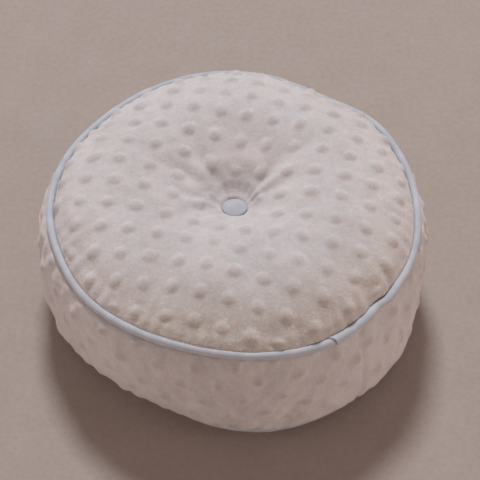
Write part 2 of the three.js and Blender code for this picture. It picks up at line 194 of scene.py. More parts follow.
# The middle line of a piped seam, read from the solid piping: radius and height by azimuth. A kink is where
# the piping was bent in sewing.
def seamLine(node, kink=0.0, waves=30):
    points = np.array([v.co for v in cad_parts[node].data.vertices]) / mm
    points = np.unique(np.round(points, 3), axis=0)
    azimuth = np.degrees(np.arctan2(points[:, 1], points[:, 0]))
    step = 360 / form["stations"]
    station = np.round((azimuth - form["joinAzimuth"]) / step).astype(int) % form["stations"]
    count = np.bincount(station)
    radius = np.bincount(station, np.hypot(*points[:, :2].T)) / count
    height = np.bincount(station, points[:, 2]) / count
    spectra = [np.fft.rfft(values)[:waves] / len(values) for values in (radius, height)]

    def at(azimuth):
        turned = np.radians(np.asarray(azimuth, float) - form["joinAzimuth"])
        found = []
        for spectrum in spectra:
            total = np.full(turned.shape, spectrum[0].real)
            for k in range(1, waves):
                total += 2 * (spectrum[k].real * np.cos(k * turned) - spectrum[k].imag * np.sin(k * turned))
            found.append(total)
        past = np.radians(angleFrom(np.degrees(turned) + form["joinAzimuth"], form["kinkAzimuth"]))
        share = past * form["seamRadius"] / form["kinkLength"]
        found[0] = found[0] + kink * share * np.exp(0.5 - 0.5 * share**2)
        return found

    return at


topSeam = seamLine("piping_top", form["kinkDepth"])
bottomSeam = seamLine("piping_bottom")
swell = aroundTable(bandRows, "swell")
fullest = aroundTable(bandRows, "fullest")
shoulderLift = aroundTable(unevenRows, "shoulder")
wallLift = aroundTable(unevenRows, "wall")
leaves = aroundTable(tuckRows, "leaves")


# Radius and height beside a seam, on the groove that its piping lies in.
def besideSeam(seam, azimuth, angle):
    radius, height = seam(azimuth)
    turned = np.radians(angle)
    return radius + form["grooveRadius"] * np.cos(turned), height + form["grooveRadius"] * np.sin(turned)


# A smooth curve through points, as many short steps with the length walked so far.
def walkedCurve(points, steps=60):
    p = np.array(points, float)
    ends = np.vstack([p[:1], p, p[-1:]])
    out = []
    for i in range(len(p) - 1):
        a, b, c, d = ends[i], ends[i + 1], ends[i + 2], ends[i + 3]
        t = np.linspace(0, 1, steps, endpoint=False)[:, None]
        bend = 2 * b - 2 * c + (c - a) / 2 + (d - b) / 2
        out.append(b + t * ((c - a) / 2 + t * (3 * (c - b) - (c - a) - (d - b) / 2 + t * bend)))
    out = np.vstack([*out, p[-1:]])
    walked = np.concatenate([[0], np.cumsum(np.hypot(*np.diff(out, axis=0).T))])
    return walked, out[:, 0], out[:, 1]


edgeTurn = math.radians(form["panelLeaves"])
edgeOut = form["grooveRadius"] * math.cos(edgeTurn)
edgeUp = form["grooveRadius"] * math.sin(edgeTurn)
crownWalked, crownRadius, crownHeight = walkedCurve(
    [(row["share"] * form["seamRadius"], row["height"]) for row in crownRows]
    + [(form["seamRadius"] + edgeOut, edgeUp)]
)
crownLength = crownWalked[-1]


def creaseDepth(radius, azimuth):
    start = smooth(radius, form["seatRadius"], form["creaseStart"])
    depth = np.zeros_like(radius)
    for row in creaseRows:
        along = smooth(row["reach"] - radius, 0, row["reach"] - form["seatRadius"])
        width = row["width"] * (0.6 + radius / row["reach"])
        across = np.radians(angleFrom(azimuth, row["azimuth"])) * radius / width
        depth += row["depth"] * start * along * np.exp(-across * across)
    return depth


def inSpace(radius, height, azimuth):
    a = np.radians(azimuth)
    return np.stack([radius * np.cos(a), radius * np.sin(a), height], axis=-1)


def unevenness(share, azimuth):
    side = np.cos(np.radians(azimuth - fuller["azimuth"])) * fuller["height"]
    wall, middle, shoulder = [between(share, *crownZones[zone]) for zone in ("wall", "middle", "shoulder")]
    return side * middle + shoulderLift(azimuth) * shoulder + wallLift(azimuth) * wall


# The top panel without its dots, from places in the flat cloth measured from the button.
def topSurface(x, y):
    azimuth = np.degrees(np.arctan2(y, x))
    walked = np.minimum(np.hypot(x, y), crownLength)
    radius = np.interp(walked, crownWalked, crownRadius)
    height = np.interp(walked, crownWalked, crownHeight)
    share = radius / (form["seamRadius"] + edgeOut)
    edgeRadius, edgeHeight = besideSeam(topSeam, azimuth, form["panelLeaves"])
    lifted = form["topHeight"] + height + share**3 * (edgeHeight - form["topHeight"] - edgeUp)
    back = np.sin(np.radians(azimuth))
    ease = form["wellEase"] * (0.5 + 0.5 * back) * between(radius, *form["easeReach"])
    lifted = lifted + unevenness(share, azimuth) - ease
    out = smooth(radius, form["seatRadius"], form["wellReach"])
    tilt = math.tan(math.radians(fuller["buttonTilt"])) * share * edgeRadius * back
    rimStart = form["seatRadius"] - 0.4
    rim = form["rimRise"] * smooth(radius, rimStart, rimStart + form["rimWidth"])
    level = form["topHeight"] + form["seatLevel"] - tilt + rim
    height = level + out * (lifted - creaseDepth(radius, azimuth) - level)
    drawn = np.exp(-(crownLength - walked) / (form["tuckFade"] * (1 + back / 3)))
    tuckedRadius, tuckedHeight = besideSeam(topSeam, azimuth, leaves(azimuth))
    away = share * edgeRadius + drawn * (tuckedRadius - edgeRadius)
    return inSpace(away, height + drawn * (tuckedHeight - edgeHeight), azimuth)


bandDrop = form["topHeight"] - form["bottomHeight"] - 2 * form["grooveRadius"] * math.sin(math.radians(67.5))
meanShares = np.linspace(0, 1, 400)
meanBulge = form["bandMeanSwell"] * (4 * meanShares * (1 - meanShares)) ** form["bandRoundness"]
meanWalked = np.concatenate([[0], np.cumsum(np.hypot(np.diff(meanBulge), np.diff(meanShares) * bandDrop))])
bandFlatHeight = meanWalked[-1]


# The band without its dots, from places in the flat strip: x from its join, y up from its lower edge.
def bandSurface(x, y):
    azimuth = form["joinAzimuth"] + 360 * x / form["bandFlatLength"]
    down = np.interp(np.clip(bandFlatHeight - y, 0, bandFlatHeight), meanWalked, meanShares)
    topRadius, topHeight = besideSeam(topSeam, azimuth, 180 + form["panelLeaves"])
    lowRadius, lowHeight = besideSeam(bottomSeam, azimuth, 180 - form["panelLeaves"])
    s = down ** (math.log(0.5) / np.log(fullest(azimuth)))
    bulge = swell(azimuth) * (4 * s * (1 - s)).clip(0) ** form["bandRoundness"]
    radius = topRadius + (lowRadius - topRadius) * down + bulge
    return inSpace(radius, topHeight + (lowHeight - topHeight) * down, azimuth)


# The bottom panel, from places in the flat cloth measured from its middle: flat where the cushion lies.
def bottomSurface(x, y):
    azimuth = np.degrees(np.arctan2(y, x))
    edgeRadius, edgeHeight = besideSeam(bottomSeam, azimuth, 360 - form["panelLeaves"])
    walked = np.hypot(x, y)
    share = ((form["seamRadius"] - walked) / (form["seamRadius"] - form["restRadius"])).clip(0, 1)
    outer = edgeRadius + (form["restRadius"] - edgeRadius) * share
    radius = np.where(walked > form["restRadius"], outer, walked)
    return inSpace(radius, edgeHeight * (1 - share) ** form["restCurve"], azimuth)


# The raised dots stand on one nearly square grid in the top panel and another in the band.
topGrid = {"x": -130.9, "y": -15.2, "stepA": 24.12, "angleA": -12.83, "stepB": 24.24, "angleB": 79.24}
bandGrid = {"x": 14.3, "y": 44.0, "stepA": 24.26, "angleA": 59.4, "stepB": 24.26, "angleB": 141.4}
dots = {
    "radius": 6.5,
    "topHeight": 2.65,
    "bandHeight": 1.5,
    # how much more painted shade the dots of the band get
    "bandPaintedShade": 1.9,
    "nearSofter": 0.3,  # share by which the near dots of the top get less painted shade, and half of it, lower
    "nearReach": (-70, 80),  # mm
    "before": (29, 44),  # mm from the button, where the dots on its near side come up
    "behind": (14, 46),
    "leastBehind": 0.22,
    "clearOfButton": (10, 13),
    "clearOfPiping": (1, 8),
    "clearOfBandEdge": (0.5, 6),
    "clearOfJoin": (0.5, 5),
    "leastBelow": 0.4,  # share of their height that the lowest dots of the band keep
    "below": (8, 50),  # mm from its lower edge
    "fineReach": 7.0,  # mm from a dot's middle that the mesh is finer
    "softRim": 0.22,
    "stray": 0.45,  # mm
    "heightVaries": 0.14,
    "sizeVaries": 0.06,
    "ovalVaries": 0.09,
    "drawn": 160,  # dots each way before what varies starts again
    "seed": 17,
}


def gridAxes(grid):
    steps = []
    for way in "AB":
        turn = math.radians(grid["angle" + way])
        steps.append(grid["step" + way] * np.array([math.cos(turn), math.sin(turn)]))
    return np.array(steps).T


def nearestDot(x, y, grid):
    axes = gridAxes(grid)
    start = np.array([grid["x"], grid["y"]])
    crossing = np.round((np.stack([x, y], axis=-1) - start) @ np.linalg.inv(axes).T)
    centre = crossing @ axes.T + start
    return centre, np.hypot(x - centre[..., 0], y - centre[..., 1])


def evenPlaces(spacing, low, high):
    rows = np.arange(low[1], high[1], spacing * math.sqrt(3) / 2)
    columns = np.arange(low[0], high[0], spacing)
    x, y = np.meshgrid(columns, rows)
    x = x + (np.arange(len(rows)) % 2)[:, None] * spacing / 2
    return x.ravel(), y.ravel()


# The thread of the button has drawn the cloth round it backwards, and the dots with it.
def drawnToButton(x, y):
    left = 1 - smooth(np.hypot(x, y), form["drawnFrom"], form["drawnTo"])
    return x, y - form["drawnBack"] * left


# Places in a piece of flat cloth, closer together on the dots.
def clothPlaces(grid, low, high, inside, fine, coarse):
    found = []
    for spacing, onDots in ((fine, True), (coarse, False)):
        x, y = evenPlaces(spacing, low, high)
        keep = inside(x, y, spacing * 0.7)
        if grid:
            reach = nearestDot(*(drawnToButton(x, y) if grid is topGrid else (x, y)), grid)[1]
            keep &= (reach < dots["fineReach"]) if onDots else (reach > dots["fineReach"] + fine * 0.5)
        elif onDots:
            continue
        found.append(np.stack([x[keep], y[keep]], axis=-1))
    return np.vstack(found)


def coveredBy(outline, places):
    everything = np.vstack([outline, places])
    count = len(outline)
    edges = [(i, (i + 1) % count) for i in range(count)]
    vectors = [Vector(p) for p in everything.tolist()]
    made = geometry.delaunay_2d_cdt(vectors, edges, [], 1, 1e-5)
    if len(made[0]) != len(everything):
        raise ValueError("the cloth lost or gained places")
    back = np.array([sources[0] for sources in made[3]])
    faces = back[np.array(made[2])]
    corner = everything[faces]
    ab = corner[:, 1] - corner[:, 0]
    ac = corner[:, 2] - corner[:, 0]
    turned = ab[:, 0] * ac[:, 1] - ab[:, 1] * ac[:, 0] < 0
    faces[turned] = faces[turned][:, ::-1]
    return everything, faces


# How fine the mesh of the cover is, in millimetres, and where it is coarser.
cover = {"fine": 1.35, "coarse": 1.95, "plainCoarser": 2.2, "stations": 600}


# The whole cover as one closed mesh. Each corner knows its place in the flat cloth and its piece.
def sewnCover(fine, coarse, stations):
    points, flats, kinds, faces = [], [], [], []
    total = 0

    def add(placed, flat, kind):
        nonlocal total
        points.append(placed)
        flats.append(flat)
        kinds.append(np.full(len(placed), kind))
        total += len(placed)
        return np.arange(total - len(placed), total)

    azimuth = form["joinAzimuth"] + np.arange(stations) * 360 / stations
    turned = np.radians(azimuth)
    rim = np.stack([np.cos(turned), np.sin(turned)], axis=-1)
    alongBand = np.arange(stations) / stations * form["bandFlatLength"]

    def joinRows(rows):
        for first, second in zip(rows, rows[1:]):
            a, b = np.roll(first, -1), np.roll(second, -1)
            faces.append(np.stack([a, first, second], axis=-1))
            faces.append(np.stack([a, second, b], axis=-1))

    def grooveRows(seam, angles, flat, kind):
        rows = []
        for angle in angles:
            radius, height = besideSeam(seam, azimuth, angle)
            rows.append(add(inSpace(radius, height, azimuth), flat, kind))
        return rows

    turns = [0, 0.22, 0.5, 0.78, 1]
    edge = np.stack([alongBand, np.full(stations, bandFlatHeight)], axis=-1)
    start = leaves(azimuth)
    end = form["panelLeaves"] + 180
    upper = grooveRows(topSeam, [start + t * (end - start) for t in turns[:-1]], rim * crownLength, 0)
    upper += grooveRows(topSeam, [end], edge, 1)
    low = 180 - form["panelLeaves"]
    lower = grooveRows(bottomSeam, [low], edge * [1, 0], 1)
    lower += grooveRows(bottomSeam, [low + 180 * t for t in turns[1:]], rim * form["seamRadius"], 2)
    joinRows(upper)
    joinRows(lower)

    def discInside(limit):
        return lambda x, y, margin: np.hypot(x, y) < limit - margin

    for limit, row, kind, surface, grid in (
        (crownLength, upper[0], 0, topSurface, topGrid),
        (form["seamRadius"], lower[-1], 2, bottomSurface, None),
    ):
        wide = coarse if grid else coarse * cover["plainCoarser"]
        places = clothPlaces(grid, (-limit, -limit), (limit, limit), discInside(limit), fine, wide)
        everything, made = coveredBy(rim * limit, places)
        inner = everything[stations:]
        ids = np.concatenate([row, add(surface(*inner.T), inner, kind)])
        faces.append(ids[made] if kind == 0 else ids[made][:, ::-1])

    length, height = form["bandFlatLength"], bandFlatHeight
    ends = max(int(round(height / coarse)), 4)
    joinY = np.arange(1, ends) / ends * height
    joinFlat = np.stack([np.zeros(ends - 1), joinY], axis=-1)
    joinIds = add(bandSurface(*joinFlat.T), joinFlat, 1)
    corners = np.array([[length, 0], [length, height]])
    rising = joinFlat + corners[0]
    outline = np.vstack([edge * [1, 0], corners[:1], rising, corners[1:], edge[::-1], joinFlat[::-1]])
    below, above = lower[0], upper[-1]
    outlineIds = np.concatenate([below, below[:1], joinIds, above[:1], above[::-1], joinIds[::-1]])

    def stripInside(x, y, margin):
        return (x > margin) & (x < length - margin) & (y > margin) & (y < height - margin)

    places = clothPlaces(bandGrid, (0, 0), (length, height), stripInside, fine, coarse)
    everything, made = coveredBy(outline, places)
    inner = everything[len(outline) :]
    ids = np.concatenate([outlineIds, add(bandSurface(*inner.T), inner, 1)])
    faces.append(ids[made])
    return np.vstack(points), np.vstack(flats), np.concatenate(kinds), np.vstack(faces)


def plainMesh(name, points, faces):
    mesh = bpy.data.meshes.new(name)
    mesh.from_pydata((points * mm).tolist(), [], faces if isinstance(faces, list) else faces.tolist())
    mesh.update()
    return mesh


# How much of a dot stands at each place: none under the button, in the seams and where the cushion lies.
def dotShares(flats, kinds):
    x, y = flats.T
    shares = np.zeros(len(flats))
    top = kinds == 0
    centre = nearestDot(*drawnToButton(x, y), topGrid)[0]
    reach = np.hypot(*centre.T)
    before = centre[:, 1] < -0.9 * np.abs(centre[:, 0])
    behind = dots["leastBehind"] + (1 - dots["leastBehind"]) * smooth(reach, *dots["behind"])
    shown = np.where(before, smooth(reach, *dots["before"]), behind)
    shown = shown * smooth(np.hypot(x, y), *dots["clearOfButton"])
    edge = smooth(crownLength - np.hypot(x, y), *dots["clearOfPiping"])
    shares[top] = (shown * edge)[top]
    side = kinds == 1
    edge = smooth(np.minimum(y, bandFlatHeight - y), *dots["clearOfBandEdge"])
    join = smooth(np.minimum(x, form["bandFlatLength"] - x), *dots["clearOfJoin"])
    low = dots["leastBelow"] + (1 - dots["leastBelow"]) * smooth(y, *dots["below"])
    shares[side] = (edge * join * low)[side]
    return shares


def softAbove(value, softness):
    return np.where(value < softness, (value + softness).clip(0) ** 2 / (4 * softness), value)


# A dot is a low dome with a soft rim. No two stand quite alike, as the pile falls differently on each. Each
# place of a dot also gets a weight of painted shade.
def dotHeights(flats, kinds, shares):
    heights = np.zeros(len(flats))
    paintedDotShadeWeights = np.zeros(len(flats))
    rng = np.random.default_rng(dots["seed"])
    for kind, grid in ((0, topGrid), (1, bandGrid)):
        here = kinds == kind
        x, y = flats[here].T
        if kind == 0:
            x, y = drawnToButton(x, y)
        centre = nearestDot(x, y, grid)[0]
        crossing = np.round((centre - [grid["x"], grid["y"]]) @ np.linalg.inv(gridAxes(grid)).T).astype(int)
        column, row = crossing.T % dots["drawn"]
        drawn = rng.uniform(-1, 1, (5, dots["drawn"], dots["drawn"]))[:, column, row]
        dx = x - centre[:, 0] - drawn[0] * dots["stray"]
        dy = y - centre[:, 1] - drawn[1] * dots["stray"]
        turn = drawn[2] * np.pi
        oval = 1 + dots["ovalVaries"] * drawn[3] * np.cos(2 * (np.arctan2(dy, dx) - turn))
        reach = np.hypot(dx, dy) / (dots["radius"] * (1 + dots["sizeVaries"] * drawn[4]) * oval)
        dome = softAbove(1 - reach**2, dots["softRim"])
        near = 1 - smooth(y, *dots["nearReach"])
        # Weights of painted shade: less on the near dots of the top, narrower and stronger on the band.
        paintedDotShadeWeights[here] = dome * (1 - dots["nearSofter"] * near) if kind == 0 else dome**2 * dots["bandPaintedShade"]
        height = dots["topHeight"] * (1 - dots["nearSofter"] * near / 2) if kind == 0 else dots["bandHeight"]
        heights[here] = height * (1 + dots["heightVaries"] * drawn[3]) * dome
    return heights * shares, paintedDotShadeWeights * shares


# Slow waves with set seeds: lumps of the filling, and puckers that run along a seam and close on themselves.
def lumps(x, y, length, seed, terms=9):
    rng = np.random.default_rng(seed)
    total = np.zeros(len(x))
    for _ in range(terms):
        angle, phase = rng.uniform(0, 2 * np.pi, 2)
        wave = 2 * np.pi / (length * rng.uniform(0.7, 1.6))
        total += np.sin(wave * (x * np.cos(angle) + y * np.sin(angle)) + phase)
    return total / math.sqrt(terms)


def puckers(azimuth, count, seed, terms=11):
    rng = np.random.default_rng(seed)
    total = np.zeros(len(azimuth))
    for _ in range(terms):
        total += np.sin(np.radians(azimuth) * int(count * rng.uniform(0.55, 1.5)) + rng.uniform(0, 2 * np.pi))
    return total / math.sqrt(terms)


sewing = {
    "puckerDepth": 0.75,  # mm in and out
    "puckerFade": 15.0,  # mm from the seam
    "topPuckers": 62,  # round the whole seam
    "sidePuckers": 54,
    "gatherCount": 15,  # fine folds round the button
    "gatherDepth": 0.28,
    "gatherReach": (11, 17, 24, 62),  # mm from the middle
    "lumpHeight": 0.8,
    "lumpLength": 52,
    "lumpFrom": (22, 50),  # mm from the middle
    "lumpInside": (2, 25),  # mm from a seam
    "sagHeight": 0.32,  # slanting folds of the band
    "sagLength": 15,
    "sagLean": 0.5,  # mm along for each mm up
    "joinDepth": 1.9,
    "joinWidth": 2.3,
    "joinFlat": 40,  # mm beside the join, over which it holds the band flat
}


# How far the cloth stands off the plain form, along its normal, before the dots.
def clothRelief(points, flats, kinds):
    s = sewing
    x, y = flats.T
    relief = np.zeros(len(points))
    azimuth = np.degrees(np.arctan2(points[:, 1], points[:, 0])) % 360
    radius = np.hypot(x, y)

    def puckered(edge, count, seed):
        wave = puckers(azimuth, count, seed)
        return s["puckerDepth"] * wave * (1 - np.exp(-edge / 2)) * np.exp(-edge / s["puckerFade"])

    fromEdge = (crownLength - radius).clip(0)
    gather = puckers(azimuth, s["gatherCount"], 5) * s["gatherDepth"]
    gather *= between(radius, *s["gatherReach"])
    lump = s["lumpHeight"] * lumps(x, y, s["lumpLength"], 3) * smooth(radius, *s["lumpFrom"])
    lump *= smooth(fromEdge, *s["lumpInside"])
    top = kinds == 0
    relief[top] = (puckered(fromEdge, s["topPuckers"], 11) + gather + lump)[top]
    side = kinds == 1
    for edge, seed in ((y, 21), (bandFlatHeight - y, 22)):
        relief[side] += puckered(edge.clip(0), s["sidePuckers"], seed)[side]
    along = np.radians(azimuth) * form["seamRadius"]
    lean = np.where(np.cos(np.radians(azimuth)) > 0, s["sagLean"], -s["sagLean"]) * y
    toEdge = np.minimum(y, bandFlatHeight - y)
    toJoin = np.minimum(x, form["bandFlatLength"] - x)
    lump = s["lumpHeight"] * lumps(along, y, s["lumpLength"], 4)
    lump += s["sagHeight"] * lumps(along - lean, y / 3, s["sagLength"], 8)
    lump *= smooth(toEdge, *s["lumpInside"]) * smooth(toJoin, 0, s["joinFlat"])
    join = s["joinDepth"] * np.exp(-((toJoin / s["joinWidth"]) ** 2)) * smooth(toEdge, 0, 4)
    relief[side] += (lump - join)[side]
    return relief


def pointNormals(points, faces):
    corner = points[faces]
    across = np.cross(corner[:, 1] - corner[:, 0], corner[:, 2] - corner[:, 0])
    normals = np.zeros_like(points)
    for k in range(3):
        np.add.at(normals, faces[:, k], across)
    return normals / np.linalg.norm(normals, axis=1, keepdims=True).clip(1e-9)


# The filling presses on a coarse copy of the cover, which is cut a little too large for its seams, so that it
# ruckles between the places where it is held: the seams, the button and the floor.
filling = {
    "spacing": 5.5,  # mm
    "stations": 168,
    "pressure": 4.0,
    "spareCloth": 0.035,  # share of its length
    "heldAtSeam": 2.5,  # mm
    "heldAtButton": 15.0,  # mm from its middle
    "frames": 20,
    "formLength": 24.0,  # mm along a seam; what is longer than this is the form, and stays as it was measured
    "formWidth": 4.0,  # mm across it
    "cap": 1.7,  # mm
    "seamFade": 12.0,  # mm
    "spread": 4.2,  # mm, from the coarse copy to the cover
}


def pressedByFilling(f):
    places, flat, kind, corners = sewnCover(f["spacing"], f["spacing"], f["stations"])
    copy = newObject("coarse_cover", plainMesh("coarse_cover", places, corners))
    held = kind == 2
    radius = np.hypot(*flat.T)
    held |= (kind == 0) & ((radius > crownLength - f["heldAtSeam"]) | (radius < f["heldAtButton"]))
    inner = np.minimum(flat[:, 1], bandFlatHeight - flat[:, 1])
    held |= (kind == 1) & (inner < f["heldAtSeam"])
    group = copy.vertex_groups.new(name="held")
    group.add(np.flatnonzero(held).tolist(), 1.0, "REPLACE")
    cloth = copy.modifiers.new("filling", "CLOTH")
    cloth.settings.quality = 6
    cloth.settings.vertex_group_mass = "held"
    cloth.settings.use_pressure = True
    cloth.settings.uniform_pressure_force = f["pressure"]
    cloth.settings.effector_weights.gravity = 0
    cloth.settings.shrink_min = -f["spareCloth"]
    cloth.collision_settings.use_collision = False
    cloth.point_cache.frame_end = f["frames"]
    for step in range(1, f["frames"] + 1):
        bpy.context.scene.frame_set(step)
    pressed = copy.evaluated_get(bpy.context.evaluated_depsgraph_get()).to_mesh()
    moved = np.array([v.co for v in pressed.vertices]) / mm - places
    mesh = copy.data
    bpy.data.objects.remove(copy)
    bpy.data.meshes.remove(mesh)
    bpy.context.scene.frame_set(1)
    return flat, kind, (moved * pointNormals(places, corners)).sum(axis=1)


# A value known at places in the flat cloth, as a smooth field over other places in it.
def spreadOver(known, values, places, spread, count=14):
    tree = kdtree.KDTree(len(known))
    for i, (x, y) in enumerate(known.tolist()):
        tree.insert((x, y, 0), i)
    tree.balance()
    out = np.zeros(len(places))
    for k, (x, y) in enumerate(places.tolist()):
        near = tree.find_n((x, y, 0), count)
        weights = [math.exp(-((distance / spread) ** 2)) for _, _, distance in near]
        out[k] = sum(w * values[i] for w, (_, i, _) in zip(weights, near)) / sum(weights)
    return out


# The mean of a value along a seam: round the button in the top panel, along the strip in the band.
def meanAlong(places, values, piece, f):
    if piece == 0:
        across = np.hypot(*places.T)
        along = np.arctan2(places[:, 1], places[:, 0])
        reach = 2 * np.pi
    else:
        along, across = places.T
        reach = form["bandFlatLength"]
    out = np.zeros(len(values))
    for i in range(len(values)):
        gone = (along - along[i] + reach / 2) % reach - reach / 2
        if piece == 0:
            gone = gone * across[i]
        weights = np.exp(-((gone / f["formLength"]) ** 2) - ((across - across[i]) / f["formWidth"]) ** 2)
        out[i] = weights @ values / weights.sum()
    return out


def ruckles(flats, kinds, f):
    flat, kind, pushed = pressedByFilling(f)
    out = np.zeros(len(flats))
    for piece in (0, 1):
        known = flat[kind == piece]
        values = pushed[kind == piece]
        loose = values - meanAlong(known, values, piece, f)
        fine = np.tanh(loose / f["cap"]) * f["cap"]
        out[kinds == piece] = spreadOver(known, fine, flats[kinds == piece], f["spread"])
    inner = np.minimum(flats[:, 1], bandFlatHeight - flats[:, 1])
    fromSeam = np.where(kinds == 0, crownLength - np.hypot(*flats.T), inner)
    return out * smooth(fromSeam, 0, f["seamFade"])


points, flats, kinds, faces = sewnCover(cover["fine"], cover["coarse"], cover["stations"])
print("cover cut:", len(points), "points,", len(faces), "triangles")
relief = clothRelief(points, flats, kinds)
relief += ruckles(flats, kinds, filling)
print("cover pressed by its filling")
normals = pointNormals(points, faces)
points = points + normals * relief[:, None]
shares = dotShares(flats, kinds)
normals = pointNormals(points, faces)
raised, paintedDotShadeWeights = dotHeights(flats, kinds, shares)
points = points + normals * raised[:, None]
points[:, 2] = points[:, 2].clip(0)
print("dots raised")


def hexColour(code):
    parts = [int(code[i : i + 2], 16) / 255 for i in (1, 3, 5)]
    return (*[c / 12.92 if c <= 0.04045 else ((c + 0.055) / 1.055) ** 2.4 for c in parts], 1)


def addNode(tree, kind, settings=None, links=None):
    node = tree.nodes.new(kind)
    for key, value in (settings or {}).items():
        if isinstance(key, str) and hasattr(node, key):
            setattr(node, key, value)
        else:
            node.inputs[key].default_value = value
    for key, source in (links or {}).items():
        tree.links.new(source, node.inputs[key])
    return node


# A new material with its tree, and the place on the piece that its patterns read.
def newMaterial(name):
    material = bpy.data.materials.new(name)
    material.use_nodes = True
    tree = material.node_tree
    tree.nodes.clear()
    return material, tree, addNode(tree, "ShaderNodeTexCoord").outputs["Object"]


# Patterns added up, each by its share.
def addedUp(tree, *patterns):
    before = {}
    for pattern, share in patterns:
        settings = {"operation": "MULTIPLY_ADD", 1: share, 2: 0.0}
        total = addNode(tree, "ShaderNodeMath", settings, {0: pattern, **before}).outputs[0]
        before = {2: total}
    return total


# A colour from the darker to the lighter one, as a pattern goes from its start to its end.
def shadedBy(tree, pattern, darker, lighter, start, end):
    share = addNode(tree, "ShaderNodeMapRange", {1: start, 2: end}, {0: pattern}).outputs[0]
    settings = {"data_type": "RGBA", 6: hexColour(darker), 7: hexColour(lighter)}
    return addNode(tree, "ShaderNodeMix", settings, {0: share}).outputs[2]


# The finish of a cloth or board: its colour, its relief in millimetres and what its shader is set to.
def finish(tree, colour, relief, depth, strength, settings):
    bump = addNode(tree, "ShaderNodeBump", {"Strength": strength, "Distance": depth * mm}, {"Height": relief})
    links = {"Base Color": colour, "Normal": bump.outputs[0]}
    shader = addNode(tree, "ShaderNodeBsdfPrincipled", settings, links)
    addNode(tree, "ShaderNodeOutputMaterial", {}, {"Surface": shader.outputs[0]})


# Knitted polyester plush with a pile of about 2 mm, brushed and embossed with dots. The pile gives a soft
# sheen at glancing angles, small clumps, and wide paths that are a little lighter or darker.
plush = {
    "dark": "#cac2c3",
    "light": "#ded7d9",
    # painted light in the well behind the button
    "paintedWellLightColour": "#e8e0e1",
    "paintedHighlightColour": "#f0e8df",  # painted highlights on the tips of the pile there
    "paintedWarmShade": "#c9bcb2",  # painted warm shade by the near seam: a warmer, darker colour in place of warmly bounced light and shade
    "paintedDotShade": "#b9aeab",  # painted shade: the pile stands open on the dots, so they look darker from above, and that darkness is painted into their colour
    "paintedDotShadeShare": 0.32,
    "clump": 5.0,  # mm
    "tuft": 1.3,  # mm; the real fibres are far finer, and are drawn this coarse so that they show
    "fibre": 0.6,  # mm
    "stroke": 30.0,  # mm; paths where it has been stroked the other way
    "relief": 0.7,  # mm
    "softness": 0.4,  # share of the light that goes into the pile and comes out beside
    "softDepth": 4.0,  # mm
    "paintedWarmShadeReach": (0.58, 0.95),  # share of the way from the middle to the seam
    "paintedWellLightReach": (9, 14, 34, 66),  # mm from the middle: starts, is full, fades and is gone
    "paintedWellLightNarrows": 2.5,
    "dotShadeLessInWellLight": 0.7,  # share by which the painted shade on the dots there is less
}


def plushMaterial(p):
    material, tree, place = newMaterial("embossed_polyester_plush")
    pile = {}
    for name, size, detail, rough, distortion in (
        ("clumps", p["clump"], 3.0, 0.55, 0.0),
        ("tufts", p["tuft"], 2.0, 0.6, 0.3),
        ("fibres", p["fibre"], 1.0, 0.6, 0.0),
        ("strokes", p["stroke"], 1.0, 0.5, 0.0),
    ):
        scale = 1 / (size * 2 * mm)
        settings = {"Scale": scale, "Detail": detail, "Roughness": rough, "Distortion": distortion}
        pile[name] = addNode(tree, "ShaderNodeTexNoise", settings, {"Vector": place}).outputs["Fac"]
    known = {}
    for name in ("paintedWellLight", "cast", "raised"):
        known[name] = addNode(tree, "ShaderNodeAttribute", {"attribute_name": name}).outputs["Fac"]
    patchy = addNode(tree, "ShaderNodeMapRange", {1: 0.35, 2: 0.65, 3: 0.5}, {0: pile["clumps"]})
    lit = addNode(tree, "ShaderNodeMapRange", {1: 0.55, 2: 0.72, 4: 0.6}, {0: pile["tufts"]})
    times = {"operation": "MULTIPLY"}
    # Painted warm shade by the near seam, in patches.
    paintedWarmShade = addNode(tree, "ShaderNodeMath", times, {0: known["cast"], 1: patchy.outputs[0]}).outputs[0]
    # Painted highlights on the pile tips by the near seam.
    paintedHighlights = addNode(tree, "ShaderNodeMath", times, {0: known["cast"], 1: lit.outputs[0]}).outputs[0]
    mixed = addedUp(tree, (pile["strokes"], 0.4), (pile["clumps"], 0.5), (pile["tufts"], 0.45))
    cloth = shadedBy(tree, mixed, p["dark"], p["light"], 0.46, 0.9)
    # Painted shade on the dots, by the weights that the cover carries in its attribute raised.
    onDots = addedUp(tree, (known["raised"], p["paintedDotShadeShare"]))
    # Mixed in: painted light in the well, painted warm shade and painted highlights by the near seam, and
    # painted shade on the dots.
    for share, colour in ((known["paintedWellLight"], "paintedWellLightColour"), (paintedWarmShade, "paintedWarmShade"), (paintedHighlights, "paintedHighlightColour"), (onDots, "paintedDotShade")):
        settings = {"data_type": "RGBA", 7: hexColour(p[colour])}
        cloth = addNode(tree, "ShaderNodeMix", settings, {0: share, 6: cloth}).outputs[2]
    settings = {
        "Roughness": 0.95,
        "Specular IOR Level": 0.2,
        "Sheen Weight": 0.35,
        "Sheen Roughness": 0.45,
        "Sheen Tint": hexColour("#f4ecea"),
        "Subsurface Weight": p["softness"],
        "Subsurface Radius": (1.0, 0.8, 0.7),
        "Subsurface Scale": p["softDepth"] * mm,
    }
    relief = addedUp(tree, (pile["tufts"], 1.0), (pile["fibres"], 0.45), (pile["clumps"], 1.2))
    finish(tree, cloth, relief, p["relief"], 0.6, settings)
    return material


# Painted warm shade on the near and right side of the top, by the seam: the colour there is a little warmer
# and darker, in place of warmly bounced light and shade.
paintedWarmShadeRows = table(
    "azimuth cast",
    (0, 0.25), (90, 0.0), (180, 0.0), (225, 0.3), (250, 0.75),
    (275, 0.8), (300, 0.68), (322, 0.55), (340, 0.35),
)


